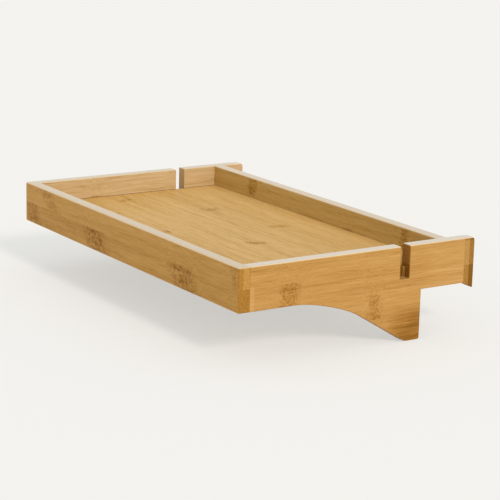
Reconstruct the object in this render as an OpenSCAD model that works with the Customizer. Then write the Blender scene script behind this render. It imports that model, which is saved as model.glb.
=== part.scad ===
// Bedside shelf that hooks over the side rail of a bed frame: a shallow
// bamboo tray between two side boards, whose arms run back over the rail.
//
// Frame: X along the shelf, Y from the front board towards the bed, Z up.
// The origin is under the middle of the shelf, level with the two feet.
// Left and right are as seen from the front.

/* [Tray] */
// Length of the shelf over both side boards
tray_length = 420; // [300:5:600]
// Clear depth of the tray, from the front board to the back board
well_front_to_back = 217; // [185:1:280]
// Depth from the rims down to the shelf panel
well_depth = 21.8; // [16:0.2:24]
// Height of the front board and of the side boards at the front
rim_height = 41.5; // [40:0.5:46]
// Thickness of every board
board_t = 12; // [10:0.5:16]
// Thickness of the shelf panel
panel_t = 10; // [4:0.5:11]
// How far the grooves for the panel run into the boards
groove_depth = 5; // [3:0.5:6]
// Radius of the eased edges round the rims
edge_r = 1.5; // [0.5:0.25:2.5]

/* [Cable slots] */
// Width of the slot in each side board
slot_width = 10.6; // [6:0.2:16]
// Depth of the slot below the rim
slot_depth = 31.8; // [24:0.2:34]
// From the slot's rear edge to the back board's inner face
slot_setback = 39.8; // [20:0.2:60]

/* [Arms and feet] */
// Height of each arm above the bed rail
arm_height = 44; // [42:0.5:50]
// Clear width between the feet and the lips, for the bed rail
rail_gap = 50.6; // [35:0.2:60]
// How far the arms run on behind the back board
arm_tail = 14; // [10:1:40]
// Height of the whole shelf, from the soles of the feet to the rims
overall_height = 92.5; // [84:0.5:110]
// Length of the foot at the sole, before its front corner is rounded
foot_length = 17; // [15:0.2:40]
// Radius of the foot's front corner
toe_r = 8; // [5:1:30]
// Radius of the foot's rear corner
heel_r = 2; // [1:0.5:6]
// Slope of the foot's front edge, in degrees from level
foot_slope = 31; // [28:1:36]
// Radius of the sweep between the foot and the rim
sweep_r = 160; // [100:5:180]

/* [Lips] */
// Thickness of the lip block on the end of each arm
lip_t = 12; // [8:0.5:16]
// How far the lip's rear edge hangs below the arm
lip_drop = 6; // [3:0.5:12]
// Radius of the lip's upper rear corner
lip_r = 3; // [1:0.5:5]

/* [Dowels] */
// Diameter of the dowels
dowel_d = 6; // [4:0.5:7]
// Depth of a dowel hole in the face of a board
face_hole = 8; // [5:0.5:9]
// Depth of a dowel hole in the end of a board
end_hole = 20; // [12:1:30]
// Depth of a lip's dowel hole in the end of its arm
arm_hole = 13; // [8:0.5:14]
// Depth of the upper dowels below the rim
upper_dowel = 10; // [8:0.5:11]

/* [Fits] */
// Radial clearance of a dowel in its hole
dowel_gap = 0.05; // [0.02:0.01:0.1]
// Gap at each end of a dowel
dowel_end_gap = 0.5; // [0.2:0.1:0.8]
// Clearance above the panel and at its edges in the grooves
groove_gap = 0.2; // [0.1:0.05:0.4]

/* [Hidden] */

$fn = 96;
bamboo = [0.80, 0.62, 0.36];
bamboo_front = [0.71, 0.55, 0.31];
bamboo_end = [0.58, 0.38, 0.17];
dowel_wood = [0.86, 0.74, 0.55];

// How far a cut runs past the face that it opens
past = 1;

// Half lengths of the shelf and of the space between the side boards
half_length = tray_length / 2;
half_well = half_length - board_t;

// Places along Y, from the front face, and the origin's own place
well_front = board_t;
well_back = well_front + well_front_to_back;
back_face = well_back + board_t;
arm_end = back_face + arm_tail;
overall_depth = arm_end + lip_t;
foot_back = arm_end - rail_gap;
slot_rear = well_back - slot_setback;

// Heights
rim_top = overall_height;
rim_under = rim_top - rim_height;
arm_under = rim_top - arm_height;
panel_top = rim_top - well_depth;
panel_under = panel_top - panel_t;
slot_floor = rim_top - slot_depth;

// The lower dowels run midway between the groove and the rim's underside
dowel_heights = [rim_top - upper_dowel, (rim_under + panel_under) / 2];

// The sweep touches the rim's underside at its own top, and the foot's
// front edge where the two share a slope
sweep_drop = sweep_r * (1 - cos(foot_slope));
sweep_end_z = rim_under - sweep_drop;
toe_corner = foot_back - foot_length;
sweep_end_y = toe_corner - sweep_end_z / tan(foot_slope);
sweep_start = sweep_end_y - sweep_r * sin(foot_slope);
toe_tangent = toe_r * tan(foot_slope / 2);

// The panel reaches this far into the grooves
tongue = groove_depth - groove_gap;

// Dowel holes, and how far a dowel runs into a lip
hole_r = dowel_d / 2 + dowel_gap;
lip_hole = lip_t * 2 / 3;

// Moves a piece drawn from the front face to its place about the origin
module placed() {
    translate([0, -overall_depth / 2, 0]) children();
}

// Draws the left-hand twin of a right-hand piece
module left_hand() {
    mirror([1, 0, 0]) children();
}

// A board drawn as an outline in Y and Z, standing from x_from to x_to
module upright(x_from, x_to) {
    translate([x_from, 0, 0])
        rotate([90, 0, 90])
            linear_extrude(x_to - x_from) children();
}

// What an eased edge of radius r loses: the edge runs along Z through the
// origin, and the board lies on the -X, -Y side of it
module edge_waste(length, r) {
    translate([-r, -r, 0])
        difference() {
            cube([r + past, r + past, length]);
            translate([0, 0, -past]) cylinder(r = r, h = length + 2 * past);
        }
}

// Waste along the upper outer edge of a side, for Y from y_from to y_to
module side_edge_waste(x, y_from, y_to) {
    translate([x, y_to, rim_top])
        rotate([90, 0, 0]) edge_waste(y_to - y_from, edge_r);
}

// Waste along an upper edge that faces the bed, for X within half_span
module rear_edge_waste(y, half_span, r) {
    translate([-half_span, y, rim_top])
        rotate([90, 0, 90]) edge_waste(2 * half_span, r);
}

// Waste along an upper edge that faces the front, for X within half_span
module front_edge_waste(y, half_span) {
    translate([0, 2 * y, 0])
        mirror([0, 1, 0]) rear_edge_waste(y, half_span, edge_r);
}

// The easing round the outside of the rims
module outer_easing() {
    for (flip = [0, 1]) mirror([flip, 0, 0])
        side_edge_waste(half_length, -past, overall_depth + past);
    front_edge_waste(0, half_length + past);
}

// The easing round the tray and round the gap behind the back board
module inner_easing() {
    for (flip = [0, 1]) mirror([flip, 0, 0])
        translate([2 * half_well, 0, 0]) left_hand() {
            side_edge_waste(half_well, well_front, well_back);
            side_edge_waste(half_well, back_face, overall_depth + past);
        }
    rear_edge_waste(well_front, half_well, edge_r);
    front_edge_waste(well_back, half_well);
    rear_edge_waste(back_face, half_well, edge_r);
}

// The groove that holds the panel on all four sides of the tray
module panel_groove() {
    reach = half_well + groove_depth;
    translate([-reach, well_front - groove_depth, panel_under])
        cube([2 * reach, well_front_to_back + 2 * groove_depth, panel_t + groove_gap]);
}

// A dowel or its hole in the right-hand front corner, along Y
module front_corner_bore(r, gap) {
    for (z = dowel_heights)
        translate([half_length - board_t / 2, well_front + end_hole - gap, z])
            rotate([90, 0, 0]) cylinder(r = r, h = end_hole + face_hole - 2 * gap);
}

// A dowel or its hole at the right-hand end of the back board, along X
module back_corner_bore(r, gap) {
    for (z = dowel_heights)
        translate([half_well - end_hole + gap, back_face - board_t / 2, z])
            rotate([0, 90, 0]) cylinder(r = r, h = end_hole + face_hole - 2 * gap);
}

// A dowel or its hole between the right-hand arm and its lip, along Y
module lip_bore(r, gap) {
    for (z = dowel_heights)
        translate([half_length - board_t / 2, arm_end + lip_hole - gap, z])
            rotate([90, 0, 0]) cylinder(r = r, h = arm_hole + lip_hole - 2 * gap);
}

// The sharp front corner of the foot, outside its rounding
module toe_waste() {
    centre = [toe_corner + toe_tangent, toe_r];
    difference() {
        translate([toe_corner, 0])
            polygon([
                [-past, -past],
                [toe_tangent, -past],
                [toe_tangent, 0],
                centre - [toe_corner, 0],
                [-toe_tangent * cos(foot_slope), toe_tangent * sin(foot_slope)],
                [-toe_tangent * cos(foot_slope) - past, toe_tangent * sin(foot_slope) - past]
            ]);
        translate(centre) circle(toe_r);
    }
}

// The sharp rear corner of the foot, outside its rounding
module heel_waste() {
    difference() {
        translate([foot_back - heel_r, -past]) square(heel_r + past);
        translate([foot_back - heel_r, heel_r]) circle(heel_r);
    }
}

// Outline of a side board in Y and Z: rim, foot and arm, with the long
// sweep cut up to the rim's underside
module side_outline() {
    difference() {
        polygon([
            [well_front, rim_top],
            [well_front, rim_under],
            [sweep_start, rim_under],
            [sweep_end_y, sweep_end_z],
            [toe_corner, 0],
            [foot_back, 0],
            [foot_back, arm_under],
            [arm_end, arm_under],
            [arm_end, rim_top]
        ]);
        translate([sweep_start, rim_under - sweep_r]) circle(sweep_r, $fn = 360);
        toe_waste();
        heel_waste();
        translate([slot_rear - slot_width, slot_floor]) square([slot_width, slot_depth + past]);
    }
}

// Front board: covers the front ends of both side boards
module front_board() {
    color(bamboo_front) placed() difference() {
        upright(-half_length, half_length)
            translate([0, rim_under]) square([board_t, rim_height]);
        outer_easing();
        inner_easing();
        // the eased lower edge and the two eased corners
        translate([0, 0, rim_under + rim_top])
            mirror([0, 0, 1]) front_edge_waste(0, half_length + past);
        for (flip = [0, 1]) mirror([flip, 0, 0])
            translate([half_length, 0, rim_under - past])
                rotate([0, 0, -90]) edge_waste(rim_height + 2 * past, edge_r);
        panel_groove();
        for (flip = [0, 1]) mirror([flip, 0, 0]) front_corner_bore(hole_r, 0);
    }
}

// Side board: side of the tray, foot and arm in one piece
module side_board_right() {
    color(bamboo) placed() difference() {
        upright(half_well, half_length) side_outline();
        outer_easing();
        inner_easing();
        panel_groove();
        front_corner_bore(hole_r, 0);
        back_corner_bore(hole_r, 0);
        lip_bore(hole_r, 0);
    }
}

module side_board_left() {
    left_hand() side_board_right();
}

// Back board: between the side boards, down to the top of the bed rail
module back_board() {
    color(bamboo_front) placed() difference() {
        upright(-half_well, half_well)
            translate([well_back, arm_under]) square([board_t, arm_height]);
        inner_easing();
        panel_groove();
        for (flip = [0, 1]) mirror([flip, 0, 0]) back_corner_bore(hole_r, 0);
    }
}

// Shelf panel: held in the grooves, its edge cut away at the cable slots
module shelf_panel() {
    reach = half_well + tongue;
    color(bamboo) placed() difference() {
        translate([-reach, well_front - tongue, panel_under])
            cube([2 * reach, well_front_to_back + 2 * tongue, panel_t]);
        for (flip = [0, 1]) mirror([flip, 0, 0])
            translate([half_well, slot_rear - slot_width, panel_under - past])
                cube([board_t, slot_width, panel_t + 2 * past]);
    }
}

// Lip: end block of the arm, bevelled below so that the rail can pass
module clip_lip_right() {
    color(bamboo_end) placed() difference() {
        upright(half_well, half_length)
            polygon([
                [arm_end, arm_under],
                [overall_depth, arm_under - lip_drop],
                [overall_depth, rim_top],
                [arm_end, rim_top]
            ]);
        outer_easing();
        inner_easing();
        rear_edge_waste(overall_depth, half_length + past, lip_r);
        lip_bore(hole_r, 0);
    }
}

module clip_lip_left() {
    left_hand() clip_lip_right();
}

// Dowels, two to each joint
module front_dowels_right() {
    color(dowel_wood) placed() front_corner_bore(dowel_d / 2, dowel_end_gap);
}

module front_dowels_left() {
    left_hand() front_dowels_right();
}

module back_dowels_right() {
    color(dowel_wood) placed() back_corner_bore(dowel_d / 2, dowel_end_gap);
}

module back_dowels_left() {
    left_hand() back_dowels_right();
}

module lip_dowels_right() {
    color(dowel_wood) placed() lip_bore(dowel_d / 2, dowel_end_gap);
}

module lip_dowels_left() {
    left_hand() lip_dowels_right();
}

front_board();
side_board_left();
side_board_right();
back_board();
shelf_panel();
clip_lip_left();
clip_lip_right();
front_dowels_left();
front_dowels_right();
back_dowels_left();
back_dowels_right();
lip_dowels_left();
lip_dowels_right();
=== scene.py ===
from math import pi, radians, tan

import bmesh
import bpy
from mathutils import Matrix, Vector


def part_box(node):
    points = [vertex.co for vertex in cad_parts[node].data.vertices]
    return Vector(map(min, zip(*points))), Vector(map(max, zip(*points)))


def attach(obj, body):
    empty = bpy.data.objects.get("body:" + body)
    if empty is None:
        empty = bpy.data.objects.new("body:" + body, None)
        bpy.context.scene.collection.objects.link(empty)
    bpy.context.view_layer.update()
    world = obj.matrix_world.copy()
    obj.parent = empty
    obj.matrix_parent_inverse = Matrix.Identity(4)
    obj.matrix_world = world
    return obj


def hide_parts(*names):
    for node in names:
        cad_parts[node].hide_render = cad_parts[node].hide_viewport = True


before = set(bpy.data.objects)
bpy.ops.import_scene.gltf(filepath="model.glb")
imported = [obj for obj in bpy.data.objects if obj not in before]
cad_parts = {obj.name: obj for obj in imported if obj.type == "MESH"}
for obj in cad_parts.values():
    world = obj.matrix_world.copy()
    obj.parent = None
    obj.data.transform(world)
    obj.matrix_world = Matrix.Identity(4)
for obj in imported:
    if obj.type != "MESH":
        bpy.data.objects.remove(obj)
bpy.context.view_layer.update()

# ---------------------------------------------------------------------------
# Front board
# The long board across the front of the tray, glued up from bamboo strips and lacquered.
# It covers the ends of both side boards, is dowelled to them, and holds the front edge
# of the shelf panel in a groove.

mm = 0.001
sharp = radians(40)
smooth = radians(35)

rim_edge = 1.5
groove_gap = 0.2
dowel_radius = 3
dowel_gap = 0.05

# points nearer than same_point are one, and what lies within a hair of a line is on it
same_point = 0.005
hair = 0.1


def box_in_mm(node):
    """The lowest and highest corner of a piece of the frame, in millimetres."""
    low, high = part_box(node)
    return low / mm, high / mm


def sawn_blank(name, low, high):
    """Adds a blank sawn to size between two corners in millimetres, in edit mode."""
    bpy.ops.object.select_all(action="DESELECT")
    low = Vector(low) * mm
    high = Vector(high) * mm
    bpy.ops.mesh.primitive_cube_add(size=1, location=(low + high) / 2, scale=high - low)
    blank = bpy.context.object
    blank.name = blank.data.name = name
    bpy.ops.object.transform_apply(location=True, rotation=True, scale=True)
    bpy.ops.object.mode_set(mode="EDIT")
    return blank


def mark_across(axis, place):
    """Marks a line round the whole board, square to an axis, at a place in millimetres."""
    point = [0, 0, 0]
    point["XYZ".index(axis)] = place * mm
    direction = [float(letter == axis) for letter in "XYZ"]
    bpy.ops.mesh.select_all(action="SELECT")
    bpy.ops.mesh.bisect(plane_co=point, plane_no=direction)


def pick(board, kind, test):
    """Selects only the edges or faces that pass the test, which sees their middle in mm."""
    bpy.ops.mesh.select_mode(type=kind)
    bpy.ops.mesh.select_all(action="DESELECT")
    shape = bmesh.from_edit_mesh(board.data)
    for part in shape.faces if kind == "FACE" else shape.edges:
        middle = sum((corner.co for corner in part.verts), Vector()) / len(part.verts) / mm
        part.select_set(bool(test(middle, part)))
    bmesh.update_edit_mesh(board.data)


def ease(board, share, test):
    """Marks the sharp edges that pass the test for easing, by a share of the rim's radius."""
    pick(board, "EDGE", lambda at, edge: edge.calc_face_angle(0) > sharp and test(at, edge))
    bpy.ops.transform.edge_bevelweight(value=share)


def use_modifier(board, kind, **settings):
    """Gives the board a modifier and applies it."""
    modifier = board.modifiers.new(kind.lower(), kind)
    for setting, value in settings.items():
        setattr(modifier, setting, value)
    bpy.context.view_layer.objects.active = board
    bpy.ops.object.modifier_apply(modifier=modifier.name)


def round_eased_edges(board):
    """Leaves edit mode and rounds the edges that are marked for easing."""
    bpy.ops.object.mode_set(mode="OBJECT")
    use_modifier(
        board, "BEVEL", width=rim_edge * mm, segments=4, limit_method="WEIGHT",
        use_clamp_overlap=False,
    )


def cut_away(board, cutter):
    """Cuts the cutter's shape out of the board, and throws the cutter away."""
    bpy.ops.object.select_all(action="DESELECT")
    board.select_set(True)
    use_modifier(board, "BOOLEAN", object=cutter, operation="DIFFERENCE", solver="EXACT")
    bpy.data.objects.remove(cutter)


def plough_groove(board):
    """Cuts the groove for the shelf panel, which runs round the tray at one height."""
    low, high = box_in_mm("shelf_panel")
    cutter = sawn_blank(
        "groove_cutter",
        (low.x - groove_gap, low.y - groove_gap, low.z),
        (high.x + groove_gap, high.y + groove_gap, high.z + groove_gap),
    )
    bpy.ops.object.mode_set(mode="OBJECT")
    cut_away(board, cutter)


def bore(board, start, end):
    """Bores a dowel hole along X or Y from start to end, in millimetres."""
    start = Vector(start) * mm
    end = Vector(end) * mm
    run = end - start
    bpy.ops.object.select_all(action="DESELECT")
    bpy.ops.mesh.primitive_cylinder_add(
        vertices=32, radius=(dowel_radius + dowel_gap) * mm, depth=run.length,
        location=(start + end) / 2,
        rotation=(0, radians(90), 0) if run.x else (radians(90), 0, 0),
    )
    cutter = bpy.context.object
    bpy.ops.object.transform_apply(location=True, rotation=True, scale=True)
    cut_away(board, cutter)


def smooth_faces(board):
    """Merges double points, smooths the eased edges' shading, and keeps the flats flat."""
    bpy.ops.object.select_all(action="DESELECT")
    board.select_set(True)
    bpy.context.view_layer.objects.active = board
    bpy.ops.object.mode_set(mode="EDIT")
    bpy.ops.mesh.select_all(action="SELECT")
    bpy.ops.mesh.remove_doubles(threshold=same_point * mm)
    bpy.ops.object.mode_set(mode="OBJECT")
    bpy.ops.object.shade_smooth_by_angle(angle=smooth)
    use_modifier(board, "WEIGHTED_NORMAL", keep_sharp=True)


def feed(tree, socket, source):
    """Joins a socket to another node, or sets it to a plain value."""
    if isinstance(source, bpy.types.NodeSocket):
        tree.links.new(source, socket)
    else:
        socket.default_value = source


def maths(tree, operation, *sources, clamp=False):
    """Adds a Math node and returns its result."""
    node = tree.nodes.new("ShaderNodeMath")
    node.operation = operation
    node.use_clamp = clamp
    for socket, source in zip(node.inputs, sources):
        feed(tree, socket, source)
    return node.outputs[0]


def add_share(tree, value, source, middle, share):
    """The value plus a share of how far the source lies from its middle."""
    off = maths(tree, "SUBTRACT", source, middle)
    return maths(tree, "MULTIPLY_ADD", off, share, value)


def fade(tree, value, start, end, before=1.0, after=0.0):
    """Goes softly from before to after as the value goes from start to end."""
    node = tree.nodes.new("ShaderNodeMapRange")
    node.interpolation_type = "SMOOTHSTEP"
    for socket, source in zip(node.inputs, (value, start, end, before, after)):
        feed(tree, socket, source)
    return node.outputs[0]


def between(tree, value, low, high, soft):
    """1 between low and high, fading to 0 over the soft width round each of them."""
    above = fade(tree, value, low - soft, low + soft, 0.0, 1.0)
    below = fade(tree, value, high - soft, high + soft)
    return maths(tree, "MULTIPLY", above, below)


def combine(tree, *sources):
    """Three values as one vector."""
    node = tree.nodes.new("ShaderNodeCombineXYZ")
    for socket, source in zip(node.inputs, sources):
        feed(tree, socket, source)
    return node.outputs[0]


def noise(tree, place, lengths, detail=1.0):
    """Soft noise whose spots are as long as the three lengths, in millimetres."""
    mapping = tree.nodes.new("ShaderNodeMapping")
    mapping.inputs["Scale"].default_value = [1 / length for length in lengths]
    feed(tree, mapping.inputs["Vector"], place)
    node = tree.nodes.new("ShaderNodeTexNoise")
    node.inputs["Scale"].default_value = 1.0
    node.inputs["Detail"].default_value = detail
    feed(tree, node.inputs["Vector"], mapping.outputs[0])
    return node.outputs["Fac"]


def mix_colours(tree, share, first, second):
    """Goes from the first colour to the second."""
    node = tree.nodes.new("ShaderNodeMix")
    node.data_type = "RGBA"
    feed(tree, node.inputs[0], share)
    feed(tree, node.inputs[6], first)
    feed(tree, node.inputs[7], second)
    return node.outputs[2]


def new_material(name):
    """An empty node material, and the piece's own coordinates in millimetres."""
    material = bpy.data.materials.new(name)
    material.use_nodes = True
    tree = material.node_tree
    tree.nodes.clear()
    coordinates = tree.nodes.new("ShaderNodeTexCoord")
    in_mm = tree.nodes.new("ShaderNodeMapping")
    in_mm.inputs["Scale"].default_value = (1 / mm, 1 / mm, 1 / mm)
    feed(tree, in_mm.inputs["Vector"], coordinates.outputs["Object"])
    return material, tree, coordinates, in_mm.outputs[0]


grain_relief = 0.4
lacquer_roughness = 0.10


def wood_surface(tree, colour, roughness, relief, depth, gloss, lacquer):
    """The wood's shader: its grain stands up by the depth in mm, under a coat of lacquer."""
    bump = tree.nodes.new("ShaderNodeBump")
    bump.inputs["Strength"].default_value = grain_relief
    bump.inputs["Distance"].default_value = depth * mm
    feed(tree, bump.inputs["Height"], relief)
    surface = tree.nodes.new("ShaderNodeBsdfPrincipled")
    feed(tree, surface.inputs["Base Color"], colour)
    feed(tree, surface.inputs["Roughness"], roughness)
    feed(tree, surface.inputs["Normal"], bump.outputs[0])
    surface.inputs["Specular IOR Level"].default_value = gloss
    feed(tree, surface.inputs["Coat Weight"], lacquer)
    surface.inputs["Coat Roughness"].default_value = lacquer_roughness
    output = tree.nodes.new("ShaderNodeOutputMaterial")
    tree.links.new(surface.outputs[0], output.inputs["Surface"])


# how long the marks in bamboo are along, across and through a strip, in millimetres
fibre = (30, 0.9, 0.9)
band = (160, 6, 6)
dash = (14, 1.0, 1.0)
waver = (140, 40, 40)
joint_rag = (9, 5, 5)
joint_scribble = (4.2, 3.0, 3.0)
end_speck = (1.3, 1.3, 1.3)
cane_length = 900.0


def strip_number(tree, across, through, strips, layers, seed):
    """A number from 0 to 1 of its own for each glued strip of the board."""
    counts = []
    for place, (first, width) in ((across, strips), (through, layers)):
        count = maths(tree, "DIVIDE", maths(tree, "SUBTRACT", place, first), width)
        counts.append(maths(tree, "FLOOR", count))
    number = tree.nodes.new("ShaderNodeTexWhiteNoise")
    number.noise_dimensions = "3D"
    feed(tree, number.inputs["Vector"], combine(tree, *counts, float(seed)))
    return number.outputs["Value"]


def cane_joints(tree, in_mm, along, across, ragged, joints):
    """How dark the joints of the cane are, and how much the fibres swirl round them. A
    joint crosses its strip as a ragged band of dark scribbles round a thin line."""
    scribble = fade(tree, noise(tree, in_mm, joint_scribble, 2.0), 0.44, 0.56, -0.15, 1.0)
    marks = 0.0
    swirl = 0.0
    for centre, low, high, lean, reach, depth in joints:
        off = add_share(tree, along, across, (low + high) / 2, -lean)
        off = maths(tree, "SUBTRACT", maths(tree, "ADD", off, ragged), float(centre))
        off = maths(tree, "ABSOLUTE", off)
        crossed = between(tree, across, low, high, 1.0)
        halo = maths(tree, "MULTIPLY", fade(tree, off, reach * 0.3, reach), crossed)
        line = maths(tree, "MULTIPLY", fade(tree, off, 0.4, 4.0), crossed)
        mark = maths(tree, "MULTIPLY", halo, maths(tree, "MULTIPLY_ADD", scribble, 0.6, 0.4))
        mark = maths(tree, "MAXIMUM", mark, maths(tree, "MULTIPLY", line, 0.55))
        marks = maths(tree, "MULTIPLY_ADD", mark, depth, marks)
        swirl = maths(tree, "MAXIMUM", swirl, fade(tree, off, reach * 0.5, reach * 1.8))
    return marks, swirl


def cane_colours(tree, shade, colour):
    """The bamboo's colour: its own at 0.5, deep brown at 0 and pale at 1."""
    ramp = tree.nodes.new("ShaderNodeValToRGB")
    feed(tree, ramp.inputs[0], shade)
    stops = ramp.color_ramp.elements
    stops[0].position = 0.0
    stops[0].color = (colour[0] * 0.42, colour[1] * 0.32, colour[2] * 0.05, 1)
    stops[1].position = 1.0
    stops[1].color = (colour[0] * 1.38, colour[1] * 1.52, colour[2] * 2.1, 1)
    darker = stops.new(0.25)
    darker.color = (colour[0] * 0.74, colour[1] * 0.64, colour[2] * 0.42, 1)
    middle = stops.new(0.5)
    middle.color = (*colour, 1)
    return ramp.outputs[0]


def bamboo(name, run, colour, seed, strips, layers, pale=None, joints=(), tones=(), gloss=0.10):
    """Lacquered bamboo strips. run names the axes of the board's length, width and
    thickness; strips and layers say where they start and how wide they are. Each joint
    of the cane has its place along the board, the strip it crosses, from low to high, its
    lean, its half width and its depth. Each tone makes the surface darker or lighter inside
    a box: low and high on each axis, how soft its edge is, and by how much; some tones are
    painted shade or painted highlights. pale is the colour of the painted sheen on the
    upper faces of the rim."""
    material, tree, coordinates, in_mm = new_material(name)
    place = tree.nodes.new("ShaderNodeSeparateXYZ")
    feed(tree, place.inputs[0], in_mm)
    facing = tree.nodes.new("ShaderNodeSeparateXYZ")
    feed(tree, facing.inputs[0], coordinates.outputs["Normal"])
    along, across, through = (place.outputs[axis] for axis in run)

    # each strip has its own tone and its own stretch of cane
    own = strip_number(tree, across, through, strips, layers, seed)
    own_along = maths(tree, "MULTIPLY_ADD", own, cane_length, along)
    cane = combine(tree, own_along, across, through)
    ragged = maths(tree, "MULTIPLY_ADD", noise(tree, in_mm, joint_rag, 2.0), 14.0, -7.0)
    marks, swirl = cane_joints(tree, in_mm, along, across, ragged, joints)

    # fibres run along the strip, drift a little, and swirl round the joints
    drift = maths(tree, "MULTIPLY_ADD", noise(tree, cane, waver), 5.0, -2.5)
    drift = maths(tree, "MULTIPLY_ADD", maths(tree, "MULTIPLY", ragged, swirl), 0.7, drift)
    drifting = combine(
        tree, own_along, maths(tree, "ADD", across, drift), maths(tree, "ADD", through, drift)
    )
    fibres = noise(tree, drifting, fibre, 2.0)
    bands = noise(tree, drifting, band)
    dashes = fade(tree, noise(tree, drifting, dash), 0.58, 0.70, 0.0, 1.0)
    shade = maths(tree, "MULTIPLY_ADD", dashes, -0.10, 0.52)
    shade = add_share(tree, shade, fibres, 0.5, 0.60)
    shade = add_share(tree, shade, bands, 0.5, 0.40)
    shade = add_share(tree, shade, own, 0.5, 0.10)
    shade = maths(tree, "SUBTRACT", shade, marks)

    # the ends show the cut fibres as dark specks
    ends = fade(tree, maths(tree, "ABSOLUTE", facing.outputs[run[0]]), 0.6, 0.85, 0.0, 1.0)
    end_shade = add_share(tree, 0.43, noise(tree, in_mm, end_speck, 3.0), 0.5, 0.5)
    shade = add_share(tree, shade, maths(tree, "SUBTRACT", end_shade, shade), 0.0, ends)

    for box, soft, change in tones:
        mask = 1.0
        for axis, (low, high) in box.items():
            inside = between(tree, place.outputs[axis], low, high, soft)
            mask = maths(tree, "MULTIPLY", inside, mask)
        shade = maths(tree, "MULTIPLY_ADD", mask, change, shade)
    coloured = cane_colours(tree, shade, colour)
    roughness = fade(tree, fibres, 0.3, 0.7, 0.56, 0.46)
    lacquer = 0.05

    # painted sheen: the upper faces of the rim are painted paler, and their rounded edges get a
    # painted highlight, for the light they catch; they also carry a thicker, shinier coat
    if pale:
        upper = fade(tree, facing.outputs["Z"], 0.25, 0.80, 0.0, 1.0)
        at_rim = fade(tree, place.outputs["Z"], rim_top - 4, rim_top - 3, 0.0, 1.0)
        upper = maths(tree, "MULTIPLY", upper, at_rim)
        streak = fade(tree, fibres, 0.3, 0.7, 0.78, 1.0)
        top_colour = mix_colours(tree, streak, (*colour, 1), (*pale, 1))
        # painted highlight on the rounded edges of the rim
        rounded = fade(tree, facing.outputs["Z"], 0.80, 0.98, 0.8, 0.0)
        top_colour = mix_colours(tree, rounded, top_colour, (*painted_edge_highlight, 1))
        coloured = mix_colours(tree, upper, coloured, top_colour)
        roughness = fade(tree, upper, 0.0, 1.0, roughness, 0.28)
        lacquer = fade(tree, upper, 0.0, 1.0, lacquer, 1.0)

    relief = maths(tree, "MULTIPLY_ADD", dashes, -0.5, fibres)
    wood_surface(tree, coloured, roughness, relief, 0.1, gloss, lacquer)
    return material


bamboo_front = (0.520, 0.290, 0.070)
# the painted sheen on the tops of the rim, and the painted highlight on their rounded edges
painted_rim_sheen = (0.57, 0.415, 0.215)
painted_edge_highlight = (0.80, 0.62, 0.38)
strip_width = 20
layer = 6
front_layer = 4.8

# the rounding of a rim runs out to a small share of itself just short of a corner
taper_start = 6
taper_end = 3
taper = 0.15

front_low, front_high = box_in_mm("front_board")
back_low, back_high = box_in_mm("back_board")
half_length = front_high.x
half_well = back_high.x
front_face = front_low.y
well_front = front_high.y
rim_under = front_low.z
rim_top = front_high.z
strip_seam = rim_top - strip_width

dowels_low, dowels_high = box_in_mm("front_dowels_right")
dowel_heights = (dowels_low.z + dowel_radius, dowels_high.z - dowel_radius)
side_middle = (dowels_low.x + dowels_high.x) / 2
face_hole_depth = 8
end_hole_depth = 20
past = 1

front_board = sawn_blank("front_board_bamboo", front_low, front_high)
for side in (-1, 1):
    for place in (half_well, half_well - taper_end, half_well - taper_start):
        mark_across("X", side * place)
ease(front_board, 1.0, lambda at, edge: at.y < front_face + hair)
ease(front_board, 1.0, lambda at, edge: abs(at.x) > half_length - hair
     and front_face + hair < at.y < well_front - hair)
ease(front_board, 1.0, lambda at, edge: at.y > well_front - hair
     and abs(at.x) < half_well - taper_end)
ease(front_board, taper, lambda at, edge: at.y > well_front - hair
     and half_well - taper_end < abs(at.x) < half_well)
ease(front_board, taper, lambda at, edge: at.y > well_front - hair
     and abs(at.x) > half_length - hair)
round_eased_edges(front_board)
plough_groove(front_board)
for height in dowel_heights:
    for x in (-side_middle, side_middle):
        bore(front_board, (x, well_front + past, height),
             (x, well_front - face_hole_depth, height))
smooth_faces(front_board)

front_board.data.materials.append(bamboo(
    "bamboo_front", "XZY", bamboo_front, 3, (rim_top, strip_width), (front_face, front_layer),
    pale=painted_rim_sheen,
    joints=[
        (-192, 50, strip_seam, -0.5, 20, 0.30), (-154, strip_seam, 93, -1.2, 18, 0.22),
        (-53, 50, strip_seam, -0.5, 30, 0.32), (117, 50, strip_seam, -0.6, 30, 0.32),
        (210, strip_seam, 93, -0.3, 18, 0.24),
    ],
    tones=[
        ({"X": (130, 220), "Y": (-140, -132)}, 40, -0.12),
        ({"X": (209, 214), "Y": (-134, -128.7), "Z": (strip_seam, 100)}, 0.3, -0.14),
        ({"X": (209, 214), "Z": (40, strip_seam)}, 0.3, -0.19),
    ],
))
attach(front_board, "root")
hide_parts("front_board")

# ---------------------------------------------------------------------------
# Side boards
# One board on each side is rim, foot and arm together: it sweeps down to a foot, and its
# arm runs back over the bed's side rail. A slot from the top edge lets a cable through.

arm_under = back_low.z
well_back = back_low.y
back_face = back_high.y
back_middle = (well_back + back_face) / 2
arm_end = box_in_mm("side_board_right")[1].y
rail_gap = 50.6
foot_length = 17
foot_slope = radians(31)
sweep_radius = 160
toe_radius = 8
heel_radius = 2
slot_setback = 39.8
slot_width = 10.6
slot_depth = 31.8
arm_hole_depth = 13

foot_back = arm_end - rail_gap
slot_rear = well_back - slot_setback
slot_front = slot_rear - slot_width
slot_floor = rim_top - slot_depth
toe_corner = foot_back - foot_length
slope_top = toe_corner - rim_under / tan(foot_slope)

# how much of the rim's rounding the other edges get
lower_edge = 0.67
slot_edge = 0.45
joint_edge = 0.12

bamboo_gold = (0.495, 0.268, 0.072)
# painted light: the far side board is a lighter copy of the near one's colour, painted for the
# bounce light that falls on it
painted_lit_far_gold = (0.61, 0.425, 0.210)
# a brighter painted sheen for the tops of the near side board and of both lips
painted_bright_rim_sheen = (0.66, 0.56, 0.41)


def runs_along_x(edge):
    """True for an edge across the board's thickness."""
    return abs(edge.verts[0].co.x - edge.verts[1].co.x) > 5 * mm


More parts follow.
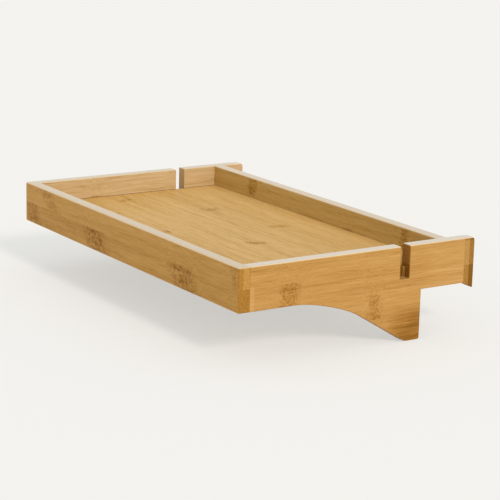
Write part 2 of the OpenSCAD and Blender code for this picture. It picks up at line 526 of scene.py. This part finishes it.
def round_corner(board, y, z, tangent, segments):
    """Rounds the corner at y and z, over its tangent length, with an edge bevel."""
    pick(board, "EDGE", lambda at, edge: runs_along_x(edge)
         and abs(at.y - y) < hair and abs(at.z - z) < hair)
    bpy.ops.mesh.bevel(offset=tangent * mm, segments=segments, profile=0.5)


flat = 0.0005


def merge_flats():
    """Removes the marking-out lines, so that each flat is one face."""
    bpy.ops.mesh.select_mode(type="VERT")
    bpy.ops.mesh.select_all(action="SELECT")
    bpy.ops.mesh.dissolve_limited(angle_limit=flat)


side_board = sawn_blank(
    "side_board_right_bamboo",
    (half_well, well_front, arm_under),
    (half_length, arm_end, rim_top),
)
for y in (slope_top, foot_back):
    mark_across("Y", y)

# draw the foot down from the underside, and slope its front edge back to the sole
pick(side_board, "FACE", lambda at, face: at.z < arm_under + hair
     and slope_top < at.y < foot_back)
bpy.ops.mesh.extrude_region_move(TRANSFORM_OT_translate={"value": (0, 0, -arm_under * mm)})
pick(side_board, "EDGE", lambda at, edge: runs_along_x(edge)
     and at.z < hair and abs(at.y - slope_top) < hair)
bpy.ops.transform.translate(value=(0, (toe_corner - slope_top) * mm, 0))
pick(side_board, "FACE", lambda at, face: abs(at.z - arm_under) < hair and at.y < slope_top)
bpy.ops.transform.translate(value=(0, 0, (rim_under - arm_under) * mm))
merge_flats()
round_corner(side_board, slope_top, rim_under, sweep_radius * tan(foot_slope / 2), 28)
round_corner(side_board, toe_corner, 0, toe_radius * tan(foot_slope / 2), 8)
round_corner(side_board, foot_back, 0, heel_radius, 6)

# saw the cable slot: open its three faces and bridge the walls
for y in (slot_front, slot_rear):
    mark_across("Y", y)
mark_across("Z", slot_floor)
pick(side_board, "FACE", lambda at, face: slot_front < at.y < slot_rear and at.z > slot_floor)
bpy.ops.mesh.delete(type="FACE")
pick(side_board, "EDGE", lambda at, edge: edge.is_boundary and not runs_along_x(edge))
bpy.ops.mesh.bridge_edge_loops()
merge_flats()
for y in (well_front, back_face):
    for stop in (taper_end, taper_start):
        mark_across("Y", y + stop)
for stop in (0, taper_end, taper_start):
    mark_across("Y", well_back - stop)
mark_across("Y", back_face)
bpy.ops.mesh.normals_make_consistent(inside=False)


def in_slot(at):
    """True on the edges of the cable slot below the rim."""
    below_rim = slot_floor - hair < at.z < rim_top - hair
    return below_rim and slot_front - hair < at.y < slot_rear + hair


def at_joint(at):
    """True on the edges that meet the front board, the back board or the lip."""
    at_end = at.y < well_front + hair or at.y > arm_end - hair
    at_back_board = at.x < half_well + hair and well_back < at.y < back_face
    return at_end or (at_back_board and (at.z > rim_top - hair or at.z < arm_under + hair))


def in_taper(at):
    """True on the tray-side edges just short of the front board and the back board."""
    near = (well_front, well_back - taper_end, back_face)
    return at.x < half_well + hair and any(y < at.y < y + taper_end for y in near)


def on_rim(at, edge):
    """True on the long upper edges of the rim and the arm."""
    return at.z > rim_top - hair and not at_joint(at) and not runs_along_x(edge)


ease(side_board, 1.0, lambda at, edge: on_rim(at, edge) and not in_taper(at))
ease(side_board, taper, lambda at, edge: on_rim(at, edge) and in_taper(at))
ease(side_board, slot_edge, lambda at, edge: in_slot(at) and at.x > half_length - hair)
ease(side_board, slot_edge, lambda at, edge: runs_along_x(edge) and at.z > rim_top - hair
     and slot_front - hair < at.y < slot_rear + hair)
ease(side_board, lower_edge, lambda at, edge: at.z < rim_under + hair and not at_joint(at)
     and not runs_along_x(edge))
ease(side_board, joint_edge, lambda at, edge: at.y < well_front + hair or at.y > arm_end - hair)
round_eased_edges(side_board)
plough_groove(side_board)
for height in dowel_heights:
    bore(side_board, (side_middle, well_front - past, height),
         (side_middle, well_front + end_hole_depth, height))
    bore(side_board, (side_middle, arm_end + past, height),
         (side_middle, arm_end - arm_hole_depth, height))
    bore(side_board, (half_well - past, back_middle, height),
         (half_well + face_hole_depth, back_middle, height))


def mirror_image(board, name):
    """A left-hand copy of a right-hand piece, with a mesh of its own."""
    twin = board.copy()
    twin.data = board.data.copy()
    twin.name = twin.data.name = name
    bpy.context.collection.objects.link(twin)
    bpy.ops.object.select_all(action="DESELECT")
    twin.select_set(True)
    bpy.context.view_layer.objects.active = twin
    bpy.ops.object.mode_set(mode="EDIT")
    bpy.ops.mesh.select_all(action="SELECT")
    bpy.ops.transform.resize(value=(-1, 1, 1), center_override=(0, 0, 0))
    bpy.ops.mesh.remove_doubles(threshold=same_point * mm)
    bpy.ops.mesh.normals_make_consistent(inside=False)
    bpy.ops.object.mode_set(mode="OBJECT")
    return twin


side_board_left = mirror_image(side_board, "side_board_left_bamboo")
for board, node in ((side_board, "side_board_right"), (side_board_left, "side_board_left")):
    smooth_faces(board)
    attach(board, "root")
    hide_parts(node)

side_board.data.materials.append(bamboo(
    "bamboo_side_right", "YZX", bamboo_gold, 8, (rim_top, strip_width), (half_well, layer),
    pale=painted_bright_rim_sheen,
    joints=[
        (-80, 50, strip_seam, 0.15, 15, 0.27), (16, 26, 50, -0.1, 11, 0.25),
    ],
    tones=[
        ({"Y": (78, 130), "Z": (44, 90)}, 12, 0.11),
        # painted shade: the foot is darker towards the floor, most at its rear
        ({"Y": (38, 110), "Z": (-60, 30)}, 14, -0.30),
        ({"Y": (58, 110), "Z": (10, 26)}, 8, -0.10),
        # painted highlight: a lighter band down the front edge of the side board's lower half
        ({"Y": (-122, -117), "Z": (40, 74)}, 1, 0.14),
        # the slot's end-grain walls are darker, and painted darker still as painted shade in the
        # slot, most in their lower part
        ({"Y": (slot_front - 0.6, slot_rear + 0.6), "Z": (slot_floor + 1, 100)}, 0.3, -0.20),
        ({"Y": (slot_front - 0.6, slot_rear + 0.6), "Z": (slot_floor + 1, 74)}, 0.3, -0.14),
    ],
))
side_board_left.data.materials.append(bamboo(
    "bamboo_side_left", "YZX", painted_lit_far_gold, 12, (rim_top, strip_width), (-half_length, layer),
    pale=painted_rim_sheen,
    joints=[
        (-60, 50, strip_seam, 0.30, 12, 0.36), (40, 26, 50, 0.05, 9, 0.30),
    ],
))

# ---------------------------------------------------------------------------
# Back board
# The board between the side boards at the back of the tray. It is dowelled to them, its
# top is level with theirs, and the shelf panel's rear edge sits in its groove.

back_gold = (0.545, 0.350, 0.105)

back_board = sawn_blank("back_board_bamboo", back_low, back_high)
for side in (-1, 1):
    for stop in (taper_end, taper_start):
        mark_across("X", side * (half_well - stop))
ease(back_board, 1.0, lambda at, edge: abs(at.x) < half_well - taper_end
     and at.z > rim_top - hair)
ease(back_board, taper, lambda at, edge: half_well - taper_end < abs(at.x) < half_well - hair
     and at.z > rim_top - hair)
ease(back_board, lower_edge, lambda at, edge: abs(at.x) < half_well - hair
     and at.z < arm_under + hair)
ease(back_board, joint_edge, lambda at, edge: abs(at.x) > half_well - hair)
round_eased_edges(back_board)
plough_groove(back_board)
for height in dowel_heights:
    for end, inner in ((half_well + past, half_well - end_hole_depth),
                       (-half_well - past, end_hole_depth - half_well)):
        bore(back_board, (end, back_middle, height), (inner, back_middle, height))
smooth_faces(back_board)
back_board.data.materials.append(bamboo(
    "bamboo_back", "XZY", back_gold, 21, (rim_top, strip_width), (well_back, layer),
    pale=painted_rim_sheen,
    joints=[
        (-120, strip_seam, 93, 0.3, 12, 0.32), (60, 50, strip_seam, -0.2, 12, 0.32),
        (150, strip_seam, 93, 0.2, 10, 0.28),
    ],
))
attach(back_board, "root")
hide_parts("back_board")

# ---------------------------------------------------------------------------
# Shelf panel
# The floor of the tray: a board of bamboo strips whose edges sit in the grooves of the
# four boards round it. It is notched at the cable slots.

panel_low, panel_high = box_in_mm("shelf_panel")
panel_edge = 0.25
panel_layer = 5
panel_gold = (0.645, 0.395, 0.130)

panel = sawn_blank("shelf_panel_bamboo", panel_low, panel_high)
bpy.ops.object.mode_set(mode="OBJECT")
for inner, outer in ((-half_length, -half_well), (half_well, half_length)):
    notch = sawn_blank(
        "notch_cutter",
        (inner, slot_front, panel_low.z - past),
        (outer, slot_rear, panel_high.z + past),
    )
    bpy.ops.object.mode_set(mode="OBJECT")
    cut_away(panel, notch)
bpy.ops.object.mode_set(mode="EDIT")
ease(panel, panel_edge, lambda at, edge: at.z > panel_high.z - hair)
round_eased_edges(panel)
smooth_faces(panel)
panel.data.materials.append(bamboo(
    "bamboo_panel", "XYZ", panel_gold, 30, (panel_low.y, strip_width), (panel_low.z, panel_layer),
    joints=[
        (-150, -106.3, -86.3, 0.2, 8, 0.28), (-20, -86.3, -66.3, -0.3, 9, 0.24),
        (110, -126.3, -106.3, 0.1, 7, 0.28), (60, -26.3, -6.3, 0.4, 7, 0.30),
        (-90, 13.7, 33.7, 0.2, 10, 0.22), (140, 53.7, 73.7, -0.2, 8, 0.26),
        (-170, -46.3, -26.3, -0.3, 7, 0.24), (10, 33.7, 53.7, 0.1, 9, 0.20),
        (160, -66.3, -46.3, 0.3, 8, 0.28),
    ],
    gloss=0.05,
    # painted shade: the panel's ends in the cable slots are painted dark, for the shade inside
    # the slots
    tones=[
        ({"X": (half_well - 1, half_well + 1)}, 0.4, -0.60),
        ({"X": (-half_well - 1, 1 - half_well)}, 0.4, -0.60),
    ],
))
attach(panel, "root")
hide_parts("shelf_panel")

# ---------------------------------------------------------------------------
# Lips
# A small block of bamboo, end grain outwards, is dowelled to the end of each arm and
# hangs a little below it, so that the arm can't slide off the bed's side rail.

lip_rear = box_in_mm("clip_lip_right")[1].y
lip_drop = 6
lip_corner = 3
lip_rounded = rim_top - 4
lip_hole_depth = 8
lip_strip = 27

lip = sawn_blank(
    "clip_lip_right_bamboo",
    (half_well, arm_end, arm_under),
    (half_length, lip_rear, rim_top),
)
pick(lip, "EDGE", lambda at, edge: runs_along_x(edge)
     and at.y > lip_rear - hair and at.z < arm_under + hair)
bpy.ops.transform.translate(value=(0, 0, -lip_drop * mm))
round_corner(lip, lip_rear, rim_top, lip_corner, 6)
ease(lip, 1.0, lambda at, edge: at.z > lip_rounded and at.y > arm_end + hair
     and not runs_along_x(edge))
ease(lip, lower_edge, lambda at, edge: at.z < lip_rounded and at.y > arm_end + hair)
ease(lip, joint_edge, lambda at, edge: at.y < arm_end + hair)
round_eased_edges(lip)
for height in dowel_heights:
    bore(lip, (side_middle, arm_end - past, height),
         (side_middle, arm_end + lip_hole_depth, height))
lip_left = mirror_image(lip, "clip_lip_left_bamboo")

# the near lip is darker in its rear half and its lower part, and in a thin band just under its
# top
lip_gold = (0.475, 0.268, 0.078)
# painted light: the far lip is painted lighter than the near one, like the far side board
painted_lit_far_lip_gold = (0.65, 0.44, 0.25)
lip_middle = (arm_end + lip_rear) / 2
lip_tones = [
    ({"Y": (lip_middle, 140)}, 0.5, -0.24),
    ({"Y": (lip_middle, 140), "Z": (30, 66)}, 0.5, -0.20),
    ({"Y": (115, lip_middle), "Z": (30, 66)}, 0.5, -0.16),
    ({"Y": (118, 140), "Z": (90.2, 91.6)}, 0.4, -0.20),
]
for board, node, colour, tones in (
    (lip, "clip_lip_right", lip_gold, lip_tones),
    (lip_left, "clip_lip_left", painted_lit_far_lip_gold, ()),
):
    smooth_faces(board)
    board.data.materials.append(bamboo(
        "bamboo_" + node, "XZY", colour, 40, (rim_top, lip_strip), (arm_end, layer),
        pale=painted_bright_rim_sheen, tones=tones,
    ))
    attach(board, "root")
    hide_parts(node)

# ---------------------------------------------------------------------------
# Dowels
# Fluted beech dowels, glued two to a joint. They are the frame's own pieces, hidden in
# their holes, and only take their wood here.


beech_pale = (0.76, 0.58, 0.37, 1)
beech_tan = (0.58, 0.40, 0.22, 1)
beech_fleck = (0.40, 0.22, 0.10, 1)


def beech(name, axis):
    """Bare beech along one axis: pale, with short brown flecks and shallow flutes."""
    material, tree, _, in_mm = new_material(name)
    long_way = (8, 0.5, 0.5) if axis == "X" else (0.5, 8, 0.5)
    rays = noise(tree, in_mm, [length * 3 for length in long_way], 2.0)
    flecks = fade(tree, noise(tree, in_mm, long_way), 0.58, 0.70, 0.0, 1.0)
    wood = mix_colours(tree, rays, beech_tan, beech_pale)
    wood = mix_colours(tree, maths(tree, "MULTIPLY", flecks, 0.5), wood, beech_fleck)
    roughness = fade(tree, rays, 0.3, 0.7, 0.75, 0.62)
    relief = maths(tree, "SUBTRACT", rays, flecks)
    wood_surface(tree, wood, roughness, relief, 0.2, 0.4, 0.0)
    return material


beech_along_x = beech("beech_back_dowels", "X")
beech_along_y = beech("beech_corner_dowels", "Y")
for side in ("left", "right"):
    for joint, wood in (
        ("front_dowels_", beech_along_y),
        ("back_dowels_", beech_along_x),
        ("lip_dowels_", beech_along_y),
    ):
        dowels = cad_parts[joint + side]
        dowels.data.materials.clear()
        dowels.data.materials.append(wood)

# ---------------------------------------------------------------------------
# Floor, light and camera
# A plain pale floor, an even white room and one broad soft lamp from the right, with the
# camera at the photograph's place.

background = (0.913, 0.896, 0.863, 1)
paper_colour = (0.973, 0.868, 0.795, 1)
paper_glow = (0.880, 0.940, 0.935, 1)
glow_share = 0.56
room_strength = 0.68
floor_size = 20
lamp_towards = (0.824, -0.084, 0.561)
lamp_strength = 0.50 * pi
lamp_width = radians(13)
camera_place = (1.4668, -0.9502, 0.4728)
camera_turn = [radians(turn) for turn in (76.366, -1.445, 56.987)]
camera_lens = 127.83
camera_film = 36


def seen_directly(tree):
    """1 for what the camera sees, straight or in a gloss or through glass."""
    path = tree.nodes.new("ShaderNodeLightPath")
    seen = maths(tree, "ADD", path.outputs["Is Camera Ray"], path.outputs["Is Glossy Ray"])
    return maths(tree, "ADD", seen, path.outputs["Is Transmission Ray"], clamp=True)


bpy.ops.object.select_all(action="DESELECT")
bpy.ops.mesh.primitive_plane_add(size=floor_size, location=(0, 0, 0))
floor = bpy.context.object
floor.name = floor.data.name = "studio_floor"
paper = bpy.data.materials.new("floor_paper")
paper.use_nodes = True
tree = paper.node_tree
tree.nodes.clear()
lit = tree.nodes.new("ShaderNodeBsdfDiffuse")
lit.inputs["Color"].default_value = paper_colour
glow = tree.nodes.new("ShaderNodeEmission")
glow.inputs["Color"].default_value = paper_glow
glow.inputs["Strength"].default_value = 1.0
choose = tree.nodes.new("ShaderNodeMixShader")
feed(tree, choose.inputs[0], maths(tree, "MULTIPLY", seen_directly(tree), glow_share))
tree.links.new(lit.outputs[0], choose.inputs[1])
tree.links.new(glow.outputs[0], choose.inputs[2])
output = tree.nodes.new("ShaderNodeOutputMaterial")
tree.links.new(choose.outputs[0], output.inputs["Surface"])
floor.data.materials.append(paper)

room = bpy.data.worlds.new("white_room")
bpy.context.scene.world = room
room.use_nodes = True
tree = room.node_tree
tree.nodes.clear()
room_light = tree.nodes.new("ShaderNodeBackground")
room_light.inputs["Color"].default_value = (1, 1, 1, 1)
room_light.inputs["Strength"].default_value = room_strength
room_seen = tree.nodes.new("ShaderNodeBackground")
room_seen.inputs["Color"].default_value = background
room_seen.inputs["Strength"].default_value = 1.0
choose = tree.nodes.new("ShaderNodeMixShader")
feed(tree, choose.inputs[0], seen_directly(tree))
tree.links.new(room_light.outputs[0], choose.inputs[1])
tree.links.new(room_seen.outputs[0], choose.inputs[2])
output = tree.nodes.new("ShaderNodeOutputWorld")
tree.links.new(choose.outputs[0], output.inputs["Surface"])

bpy.ops.object.light_add(type="SUN", location=(1.5, -0.2, 1.1))
lamp = bpy.context.object
lamp.name = "soft_lamp"
lamp.rotation_euler = Vector(lamp_towards).to_track_quat("Z", "Y").to_euler()
lamp.data.energy = lamp_strength
lamp.data.angle = lamp_width

bpy.ops.object.camera_add(location=camera_place, rotation=camera_turn)
camera = bpy.context.object
camera.data.lens = camera_lens
camera.data.sensor_width = camera_film
bpy.context.scene.camera = camera
bpy.context.scene.view_settings.view_transform = "Standard"
